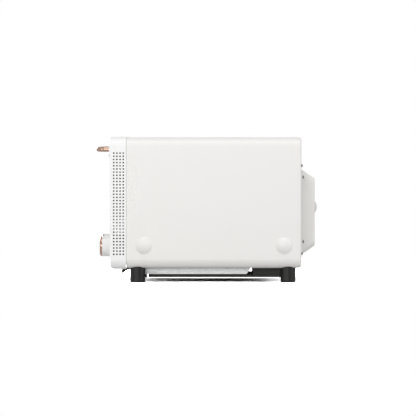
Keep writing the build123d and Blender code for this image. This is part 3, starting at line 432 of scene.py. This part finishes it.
# Grey ink, pad printed
greyInk = grainedFinish(
    "greyPadPrint",
    {
        "colour": "#8d8b88",
        "driftColour": "#858380",
        "driftMm": 3,
        "Roughness": 0.55,
        "glossSpread": 0.03,
        "grainMm": 0.3,
        "grainStrength": 0.1,
        "grainDepthMm": 0.005,
    },
)


def clearFinish(name, look):
    # A glass whose gloss varies a little, as wiped glass does
    material, tree, shader, place = startMaterial(name, look)
    wiped = addNode(
        tree, "ShaderNodeTexNoise", {"Scale": 1 / (look["wipedMm"] * mm), "Detail": 2.0}, {"Vector": place}
    ).outputs[0]
    gloss = addNode(
        tree,
        "ShaderNodeMapRange",
        {"To Min": look["Roughness"], "To Max": look["Roughness"] + look["glossSpread"]},
        {"Value": wiped},
    ).outputs[0]
    tree.links.new(gloss, shader.inputs["Roughness"])
    return material


# Tempered soda-lime glass of the door: clear with a slight smoke
doorGlass = clearFinish(
    "temperedDoorGlass",
    {
        "colour": "#d9dedc",
        "Roughness": 0.01,
        "IOR": 1.52,
        "Transmission Weight": 1.0,
        "wipedMm": 60,
        "glossSpread": 0.03,
    },
)

# Quartz tube, sanded outside so that the coil shows softly
sandedQuartz = clearFinish(
    "sandedQuartz",
    {
        "colour": "#f2f0ec",
        "Roughness": 0.18,
        "IOR": 1.46,
        "Transmission Weight": 1.0,
        "wipedMm": 4,
        "glossSpread": 0.1,
    },
)

# Frosted polycarbonate of the small windows
frostedLens = clearFinish(
    "frostedPolycarbonate",
    {
        "colour": "#ece9e2",
        "Roughness": 0.35,
        "IOR": 1.58,
        "Transmission Weight": 0.6,
        "wipedMm": 2,
        "glossSpread": 0.1,
    },
)
print("materials made")


# How loose triangles are joined, and from which angle an edge counts as sharp
joined = {"mergeMm": 0.002, "flatDegrees": 0.6, "sharpDegrees": 38}


def cleanShell(node):
    # A node's loose triangles as one mesh with whole flat faces
    shell = bmesh.new()
    shell.from_mesh(cadNodes[node].data)
    bmesh.ops.remove_doubles(shell, verts=shell.verts, dist=joined["mergeMm"] * mm)
    flat = math.radians(joined["flatDegrees"])
    bmesh.ops.dissolve_limit(shell, angle_limit=flat, verts=shell.verts, edges=shell.edges)
    return shell


def addPiece(name, shell, materials, node, replaced, roundMm=0.0, roundSteps=2):
    # A finished piece that stands for CAD nodes, with its sharp edges softly rounded
    data = bpy.data.meshes.new(name)
    shell.to_mesh(data)
    shell.free()
    for face in data.polygons:
        face.use_smooth = True
    sharp = math.radians(joined["sharpDegrees"])
    data.set_sharp_from_angle(angle=sharp)
    for material in materials:
        data.materials.append(material)
    piece = bpy.data.objects.new(name, data)
    bpy.context.scene.collection.objects.link(piece)
    if roundMm:
        rounded = piece.modifiers.new("rounded", "BEVEL")
        rounded.width = roundMm * mm
        rounded.segments = roundSteps
        rounded.limit_method = "ANGLE"
        rounded.angle_limit = sharp
        rounded.harden_normals = False
    weighted = piece.modifiers.new("weighted", "WEIGHTED_NORMAL")
    weighted.keep_sharp = True
    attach(piece, bodyOf[node])
    if replaced:
        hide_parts(*replaced)
    return piece


# Finish and edge rounding, in millimetres, of the pieces whose CAD shape is already right
dressing = {
    "back_panel": (powderCoat, 0.25),
    "base_pan": (galvanised, 0.3),
    "boiler_cover": (brushedSteel, 0.2),
    "cavity_liner": (brushedSteel, 0.0),
    "control_board": (solderMask, 0.0),
    "control_fascia": (mouldedAbs, 0.4),
    "crumb_chute": (galvanised, 0.0),
    "crumb_tray": (aluminised, 0.25),
    "door_bumpers": (greySilicone, 0.15),
    "door_glass": (doorGlass, 0.4),
    "door_inner_panel": (brushedSteel, 0.4),
    "feed_pipe": (brushedSteel, 0.0),
    "foot_screws": (zincPlate, 0.3),
    "front_frame": (galvanised, 0.3),
    "handle_bar": (copperPlate, 0.0),
    "handle_rail": (mouldedAbs, 0.5),
    "handle_screws": (zincPlate, 0.3),
    "handle_trim": (zincPlate, 0.2),
    "heat_reflector": (brushedSteel, 0.2),
    "heater_bottom_front": (sandedQuartz, 0.2),
    "heater_bottom_rear": (sandedQuartz, 0.2),
    "heater_top_front": (sandedQuartz, 0.2),
    "heater_top_rear": (sandedQuartz, 0.2),
    "heater_end_caps": (steatite, 0.7),
    "heater_guard": (chromeWire, 0.0),
    "hinge_arm_left": (galvanised, 0.4),
    "hinge_arm_right": (galvanised, 0.4),
    "hinge_bracket_left": (galvanised, 0.3),
    "hinge_bracket_right": (galvanised, 0.3),
    "indicator_lenses": (frostedLens, 0.2),
    "indicator_lights": (frostedLens, 0.3),
    "mode_knob": (mouldedAbs, 0.35),
    "mode_knob_ring": (copperPlate, 0.15),
    "mode_shaft": (zincPlate, 0.3),
    "mode_switch": (blackNylon, 0.4),
    "rack_rails": (brushedSteel, 0.2),
    "switch_nuts": (zincPlate, 0.2),
    "steam_boiler": (brushedSteel, 0.25),
    "thermal_sensor": (brushedSteel, 0.3),
    "timer_knob": (mouldedAbs, 0.35),
    "timer_knob_ring": (copperPlate, 0.15),
    "timer_shaft": (zincPlate, 0.3),
    "timer_switch": (blackNylon, 0.4),
    "tray_grip": (blackNylon, 0.5),
    "water_inlet": (brushedSteel, 0.25),
    "wire_rack": (chromeWire, 0.0),
    "door_springs": (zincPlate, 0.0),
    "foot_front_left": (blackRubber, 0.3),
    "foot_front_right": (blackRubber, 0.3),
    "foot_rear_left": (blackRubber, 0.3),
    "foot_rear_right": (blackRubber, 0.3),
    "cord_gland": (blackNylon, 0.5),
    "door_outer_panel": (mouldedAbs, 0.6),
}
for node, (material, roundMm) in dressing.items():
    addPiece(node + "_piece", cleanShell(node), [material], node, [node], roundMm)
print("plain pieces dressed")


def sharpEdges(shell, lowDegrees, highDegrees, convex, wanted):
    # Edges whose faces meet within a range of angles, on the wanted side, picked by place
    picked = []
    for edge in shell.edges:
        if len(edge.link_faces) != 2 or edge.is_convex != convex:
            continue
        angle = math.degrees(edge.calc_face_angle(0.0))
        centre = (edge.verts[0].co + edge.verts[1].co) / 2
        if lowDegrees < angle < highDegrees and wanted(centre):
            picked.append(edge)
    return picked


def roundEdges(shell, edges, radiusMm, steps):
    bmesh.ops.bevel(
        shell,
        geom=edges,
        offset=radiusMm * mm,
        affect="EDGES",
        segments=steps,
        profile=0.5,
        material=-1,
        clamp_overlap=True,
    )


# Tray runners in bare zinc, and the sheet below them painted dark as the shadow under the body
shadowSheet = {"belowMm": 11, "behindMm": 60, "edgeMm": 0.25}


def makeRunnersAndShadowSheet():
    shell = cleanShell("tray_runners")
    # Faces low down or far back are the sheet and get the second material, a dark colour that paints the
    # shadow under the body
    for face in shell.faces:
        centre = face.calc_center_median()
        if centre.z < shadowSheet["belowMm"] * mm or centre.y > shadowSheet["behindMm"] * mm:
            face.material_index = 1
    materials = [galvanised, paintedUnderShadow]
    addPiece("runners_and_shadow_sheet", shell, materials, "tray_runners", ["tray_runners"], shadowSheet["edgeMm"])


makeRunnersAndShadowSheet()

# Wrap: the CAD shell with a drawn fillet round each pressed dome
wrap = {"domeRootMm": 1.6, "domeRootSteps": 4, "sideFromMm": 173.5}


def makeWrap():
    shell = cleanShell("housing")
    roots = sharpEdges(
        shell, 25, 60, False, lambda centre: abs(centre.x) > wrap["sideFromMm"] * mm
    )
    roundEdges(shell, roots, wrap["domeRootMm"], wrap["domeRootSteps"])
    addPiece("housing_shell", shell, [powderCoat], "housing", ["housing"])


makeWrap()

# Bezel: rounded outer front edge, small rounds on the door opening, painted shade inside the vents
bezel = {
    "frontRoundMm": 1.7,
    "frontSteps": 4,
    "innerRoundMm": 0.4,
    "innerSteps": 2,
    "wallMm": 1.5,
    "frontFaceMm": 0.3,
    "slantHeightMm": 20,
    "slantDepthMm": 2.4,
    "bottomBendMm": 7,
    "topBandMm": 15,
    "sideFaceMm": 0.5,
    "openingHalfMm": 164,
    "openingFromMm": 70,
    "ventsFromMm": 30,
    "ventsToMm": 200,
    "ventsBehindMm": 3,
    "shadeDepthMm": 11.6,
}


def makeBezel():
    shell = cleanShell("front_bezel")
    low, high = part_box("front_bezel")
    frontY = low.y

    def onOuterFront(centre):
        onSlant = centre.z > high.z - bezel["slantHeightMm"] * mm
        nearFront = centre.y < frontY + bezel["frontFaceMm"] * mm
        if onSlant and centre.y < frontY + bezel["slantDepthMm"] * mm:
            nearFront = True
        bend = bezel["bottomBendMm"] * mm
        nearBottomBend = centre.z < low.z + bend and centre.y < frontY + bend
        atSide = abs(centre.x) > high.x - bezel["sideFaceMm"] * mm
        atTop = centre.z > high.z - bezel["topBandMm"] * mm
        return (nearFront and (atSide or atTop)) or (nearBottomBend and atSide)

    def onOpening(centre):
        across = abs(centre.x) < bezel["openingHalfMm"] * mm
        above = centre.z > bezel["openingFromMm"] * mm
        return centre.y < frontY + 0.1 * mm and across and above

    outer = sharpEdges(shell, 45, 120, True, onOuterFront)
    roundEdges(shell, outer, bezel["frontRoundMm"], bezel["frontSteps"])
    opening = sharpEdges(shell, 60, 120, True, onOpening)
    roundEdges(shell, opening, bezel["innerRoundMm"], bezel["innerSteps"])
    wall = bezel["wallMm"] * mm
    # Faces in and behind the vent holes get the second material, a dark colour that paints the shade seen
    # through them
    for face in shell.faces:
        centre = face.calc_center_median()
        depth = high.x - abs(centre.x)
        inHole = 0.1 * mm < depth < wall - 0.1 * mm and abs(face.normal.x) < 0.3
        behind = depth > wall - 0.1 * mm and centre.y > frontY + bezel["slantDepthMm"] * mm
        atVents = bezel["ventsFromMm"] * mm < centre.z < bezel["ventsToMm"] * mm
        pastFront = centre.y > frontY + bezel["ventsBehindMm"] * mm
        if atVents and pastFront and (inHole or behind) and depth < bezel["shadeDepthMm"] * mm:
            face.material_index = 1
    addPiece("bezel_ring", shell, [mouldedAbs, ventHoleShade], "front_bezel", ["front_bezel"])


makeBezel()

# Rear cover: the drawn bulge with a soft root where it meets its flange
cover = {
    "rootMm": 5.0,
    "rootSteps": 5,
    "edgeMm": 0.4,
    "flangeMm": 2.8,
    "rootFromMm": 100,
    "domeRootMm": 1.2,
    "domeRootSteps": 3,
    "domeBehindMm": 150,
    "domeHalfMm": 20,
}


def makeRearCover():
    shell = cleanShell("rear_cover")
    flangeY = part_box("rear_cover")[0].y + cover["flangeMm"] * mm

    def onFlange(centre):
        return abs(centre.y - flangeY) < 0.2 * mm and abs(centre.x) > cover["rootFromMm"] * mm

    def roundDome(centre):
        return centre.y > cover["domeBehindMm"] * mm and abs(centre.x) < cover["domeHalfMm"] * mm

    roots = sharpEdges(shell, 30, 100, False, onFlange)
    roundEdges(shell, roots, cover["rootMm"], cover["rootSteps"])
    domeRoots = sharpEdges(shell, 25, 80, False, roundDome)
    roundEdges(shell, domeRoots, cover["domeRootMm"], cover["domeRootSteps"])
    addPiece("rear_cover_shell", shell, [powderCoat], "rear_cover", ["rear_cover"], cover["edgeMm"])


makeRearCover()
print("wrap, bezel and rear cover made")

# Pan-head screws with a small driving recess, spun about Y
panHead = {
    "segments": 32,
    "heightMm": 1.7,
    "radiusMm": 2.2,
    "crownMm": 0.5,
    "recessDepthMm": 0.9,
    "recessRadiusMm": 0.25,
    "shankRadiusMm": 1.6,
    "tipMm": 0.5,
}


def makePanHeads(node):
    # One head and shank for each solid of the node, at the node's own places
    places = {}
    for vertex in cadNodes[node].data.vertices:
        key = (vertex.co.x > 0, vertex.co.z > 0.1)
        places.setdefault(key, []).append(vertex.co)
    shell = bmesh.new()
    for corners in places.values():
        lowX = min(c.x for c in corners)
        highX = max(c.x for c in corners)
        lowZ = min(c.z for c in corners)
        highZ = max(c.z for c in corners)
        backY = max(c.y for c in corners)
        frontY = min(c.y for c in corners)
        centreX = (lowX + highX) / 2
        centreZ = (lowZ + highZ) / 2
        seatY = backY - panHead["heightMm"] * mm
        radius = panHead["radiusMm"] * mm
        shank = panHead["shankRadiusMm"] * mm
        crown = panHead["crownMm"] * mm
        recessY = backY - panHead["recessDepthMm"] * mm
        profile = [  # the crown falls away in shares of the radius and of its own height
            (0, recessY),
            (panHead["recessRadiusMm"] * mm, recessY),
            (0.45 * radius, backY),
            (0.75 * radius, backY - 0.15 * crown),
            (0.94 * radius, backY - 0.7 * crown),
            (radius, backY - 1.4 * crown),
            (radius, seatY),
            (shank, seatY),
            (shank, frontY + panHead["tipMm"] * mm),
            (0.5 * shank, frontY),
            (0, frontY),
        ]
        points = [shell.verts.new((centreX + r, y, centreZ)) for r, y in profile]
        edges = [shell.edges.new(pair) for pair in zip(points[:-1], points[1:])]
        bmesh.ops.spin(
            shell,
            geom=points + edges,
            cent=(centreX, 0, centreZ),
            axis=(0, 1, 0),
            angle=math.tau,
            steps=panHead["segments"],
            use_merge=True,
        )
    bmesh.ops.remove_doubles(shell, verts=shell.verts, dist=joined["mergeMm"] * mm)
    bmesh.ops.recalc_face_normals(shell, faces=shell.faces)
    addPiece(node + "_heads", shell, [blackZinc], node, [node])


makePanHeads("back_panel_screws")
makePanHeads("rear_cover_screws")

# Heater coils: one turn of resistance wire, repeated along each quartz tube
coil = {
    "radiusMm": 1.35,
    "wireMm": 0.25,
    "pitchMm": 1.8,
    "startMm": 0.8,
    "mergeMm": 0.02,
    "sides": 5,
    "stepsPerTurn": 12,
}


def makeCoil(heater):
    low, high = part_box(heater)
    centre = (low + high) / 2
    pitch = coil["pitchMm"] * mm
    turns = int((high.x - low.x) / pitch) - 1
    start = Vector((low.x + coil["startMm"] * mm, centre.y, centre.z))
    shell = bmesh.new()
    ring = bmesh.ops.create_circle(
        shell,
        segments=coil["sides"],
        radius=coil["wireMm"] * mm,
        matrix=Matrix.Translation(start + Vector((0, 0, coil["radiusMm"] * mm)))
        @ Matrix.Rotation(math.pi / 2, 4, "X"),
    )["verts"]
    bmesh.ops.spin(
        shell,
        geom=ring + list(shell.edges),
        cent=start,
        axis=(1, 0, 0),
        dvec=(pitch / coil["stepsPerTurn"], 0, 0),
        angle=math.tau,
        steps=coil["stepsPerTurn"],
    )
    bmesh.ops.recalc_face_normals(shell, faces=shell.faces)
    replaced = ["heater_filaments"] if heater == "heater_top_front" else []
    piece = addPiece(heater + "_coil", shell, [resistanceWire], "heater_filaments", replaced)
    repeated = piece.modifiers.new("turns", "ARRAY")
    repeated.count = turns
    repeated.use_relative_offset = False
    repeated.use_constant_offset = True
    repeated.constant_offset_displace = (pitch, 0, 0)
    repeated.use_merge_vertices = True
    repeated.merge_threshold = coil["mergeMm"] * mm


heaters = ("heater_top_front", "heater_top_rear", "heater_bottom_front", "heater_bottom_rear")
for heater in heaters:
    makeCoil(heater)
print("screws and coils made")

# Dial marks: pad-printed ticks and plain numbers round each knob, and a pointer on its cap
dial = {
    "tickInnerMm": 16.0,
    "tickOuterMm": 17.2,
    "tickWidthMm": 0.35,
    "numberRadiusMm": 18.9,
    "numberMm": 2.4,
    "fontScale": 1.4,
    "inkMm": 0.03,
    "pointerMm": (1.1, 6.0, 0.12),
    "pointerCentreMm": 5.6,
}


def flatBox(shell, sizeMm, place, turn):
    # A thin block that lies in the plane of the front, turned about Y
    matrix = (
        Matrix.Translation(place)
        @ Matrix.Rotation(turn, 4, "Y")
        @ Matrix.Diagonal((sizeMm[0] * mm, sizeMm[2] * mm, sizeMm[1] * mm, 1))
    )
    bmesh.ops.create_cube(shell, size=1, matrix=matrix)


def textShell(shell, text, sizeMm, place):
    # Plain printed figures as a mesh, facing -Y
    curve = bpy.data.curves.new("figures", "FONT")
    curve.body = text
    curve.size = sizeMm * mm * dial["fontScale"]
    curve.align_x = "CENTER"
    curve.align_y = "CENTER"
    curve.extrude = dial["inkMm"] * mm / 2
    carrier = bpy.data.objects.new("figures", curve)
    bpy.context.scene.collection.objects.link(carrier)
    bpy.context.view_layer.update()
    flat = bpy.data.meshes.new_from_object(
        carrier.evaluated_get(bpy.context.evaluated_depsgraph_get())
    )
    flat.transform(Matrix.Translation(place) @ Matrix.Rotation(math.pi / 2, 4, "X"))
    shell.from_mesh(flat)
    bpy.data.objects.remove(carrier)
    bpy.data.meshes.remove(flat)
    bpy.data.curves.remove(curve)


def makeDialMarks():
    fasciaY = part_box("control_fascia")[0].y
    shell = bmesh.new()
    for knob, rangeDegrees, labels in (
        ("timer_knob", 300, ("0", "3", "6", "9", "12", "15")),
        ("mode_knob", 270, ("0", "1", "2", "3", "4", "5")),
    ):
        low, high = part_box(knob)
        centre = (low + high) / 2
        for index, label in enumerate(labels):
            turn = math.radians(rangeDegrees * index / (len(labels) - 1))
            outward = Vector((math.sin(turn), 0, math.cos(turn)))
            tickRadius = (dial["tickInnerMm"] + dial["tickOuterMm"]) / 2 * mm
            tickPlace = Vector((centre.x, fasciaY - dial["inkMm"] * mm / 2, centre.z))
            flatBox(
                shell,
                (dial["tickWidthMm"], dial["tickOuterMm"] - dial["tickInnerMm"], dial["inkMm"]),
                tickPlace + outward * tickRadius,
                turn,
            )
            textShell(
                shell, label, dial["numberMm"], tickPlace + outward * dial["numberRadiusMm"] * mm
            )
    addPiece("dial_marks", shell, [greyInk], "control_fascia", [])


def makePointers():
    for knob in ("timer_knob", "mode_knob"):
        low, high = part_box(knob)
        centre = (low + high) / 2
        pointer = bmesh.new()
        width, length, height = dial["pointerMm"]
        place = Vector((centre.x, low.y, centre.z + dial["pointerCentreMm"] * mm))
        flatBox(pointer, (width, length, height), place, 0)
        upright = [
            edge for edge in pointer.edges if abs(edge.verts[0].co.y - edge.verts[1].co.y) > 0.05 * mm
        ]
        roundEdges(pointer, upright, width / 2 * 0.95, 4)
        piece = addPiece(knob + "_pointer", pointer, [copperPlate], knob, [])


makeDialMarks()
makePointers()
print("dial marks made")


# White sweep: seen directly it is exposed well over white, so that only the deep shadow
# under the body shows; metal and glass see it as plain white, and it throws less light back
floor = {"radius": 1.6, "seen": 7.0, "mirrored": 1.2, "bounced": 0.6, "sides": 64}


def makeFloor():
    disc = bmesh.new()
    bmesh.ops.create_circle(disc, cap_ends=True, segments=floor["sides"], radius=floor["radius"])
    data = bpy.data.meshes.new("studioFloor")
    disc.to_mesh(data)
    disc.free()
    piece = bpy.data.objects.new("studioFloor", data)
    bpy.context.scene.collection.objects.link(piece)
    material = bpy.data.materials.new("paperSweep")
    material.use_nodes = True
    tree = material.node_tree
    tree.nodes.remove(tree.nodes["Principled BSDF"])
    path = addNode(tree, "ShaderNodeLightPath").outputs
    reflected = addNode(
        tree,
        "ShaderNodeMath",
        {"operation": "MAXIMUM"},
        {0: path["Is Glossy Ray"], 1: path["Is Transmission Ray"]},
    )
    unseen = addNode(
        tree,
        "ShaderNodeMapRange",
        {"To Min": floor["bounced"], "To Max": floor["mirrored"]},
        {"Value": reflected.outputs[0]},
    )
    share = addNode(
        tree,
        "ShaderNodeMapRange",
        {"To Max": floor["seen"]},
        {"Value": path["Is Camera Ray"], "To Min": unseen.outputs[0]},
    )
    paper = addNode(tree, "ShaderNodeBsdfDiffuse", {}, {"Color": share.outputs[0]})
    tree.links.new(paper.outputs[0], tree.nodes["Material Output"].inputs["Surface"])
    data.materials.append(material)


# Lamps: place in metres, size in metres and power in watts
lighting = {
    "ambient": 0.43,
    "aim": (0, 0, 0.1),
    "softboxes": {
        "softboxTop": ((1.4, 0.0, 3.0), 1.4, 26),
        "softboxSide": ((3.0, -0.5, 0.12), 0.9, 18),
        "softboxRear": ((1.8, 2.9, 0.8), 1.0, 26),
        "softboxFront": ((2.3, -2.2, 0.6), 1.0, 20),
        "softboxLeft": ((-2.4, -1.6, 0.9), 1.0, 24),
    },
}


def makeWorld():
    # Soft ambient light; the camera, metal and glass see plain white
    world = bpy.data.worlds.new("studioWorld")
    bpy.context.scene.world = world
    world.use_nodes = True
    tree = world.node_tree
    path = addNode(tree, "ShaderNodeLightPath")
    seen = path.outputs["Is Camera Ray"]
    for ray in ("Is Glossy Ray", "Is Transmission Ray"):
        seen = addNode(
            tree, "ShaderNodeMath", {"operation": "MAXIMUM"}, {0: seen, 1: path.outputs[ray]}
        ).outputs[0]
    strength = addNode(
        tree, "ShaderNodeMapRange", {"To Min": lighting["ambient"], "To Max": 1.0}, {"Value": seen}
    )
    background = tree.nodes["Background"]
    background.inputs["Color"].default_value = (1, 1, 1, 1)
    tree.links.new(strength.outputs[0], background.inputs["Strength"])


def addSoftbox(name, place, target, size, power):
    lamp = bpy.data.lights.new(name, "AREA")
    lamp.shape = "SQUARE"
    lamp.size = size
    lamp.energy = power
    holder = bpy.data.objects.new(name, lamp)
    holder.location = place
    holder.rotation_euler = (Vector(target) - Vector(place)).to_track_quat("-Z", "Y").to_euler()
    bpy.context.scene.collection.objects.link(holder)


# The photograph's view: straight at the right side, from far off with a long lens
picture = {
    "azimuth": 90,
    "elevation": 0.7,
    "distance": 10.0,
    "lens": 592,
    "sensor": 36,
    "farEnd": 100,
    "targetY": 0.0013,
    "targetZ": 0.1051,
}


def makeCamera():
    camera = bpy.data.cameras.new("camera")
    camera.lens = picture["lens"]
    camera.sensor_width = picture["sensor"]
    camera.clip_end = picture["farEnd"]
    holder = bpy.data.objects.new("camera", camera)
    azimuth = math.radians(picture["azimuth"])
    elevation = math.radians(picture["elevation"])
    away = Vector(
        (
            math.sin(azimuth) * math.cos(elevation),
            -math.cos(azimuth) * math.cos(elevation),
            math.sin(elevation),
        )
    )
    target = Vector((0, picture["targetY"], picture["targetZ"]))
    holder.location = target + away * picture["distance"]
    holder.rotation_euler = (-away).to_track_quat("-Z", "Y").to_euler()
    bpy.context.scene.collection.objects.link(holder)
    bpy.context.scene.camera = holder


makeFloor()
makeWorld()
for name, (place, size, power) in lighting["softboxes"].items():
    addSoftbox(name, place, lighting["aim"], size, power)
makeCamera()
bpy.context.scene.view_settings.view_transform = "Standard"
print("stage, light and camera set")
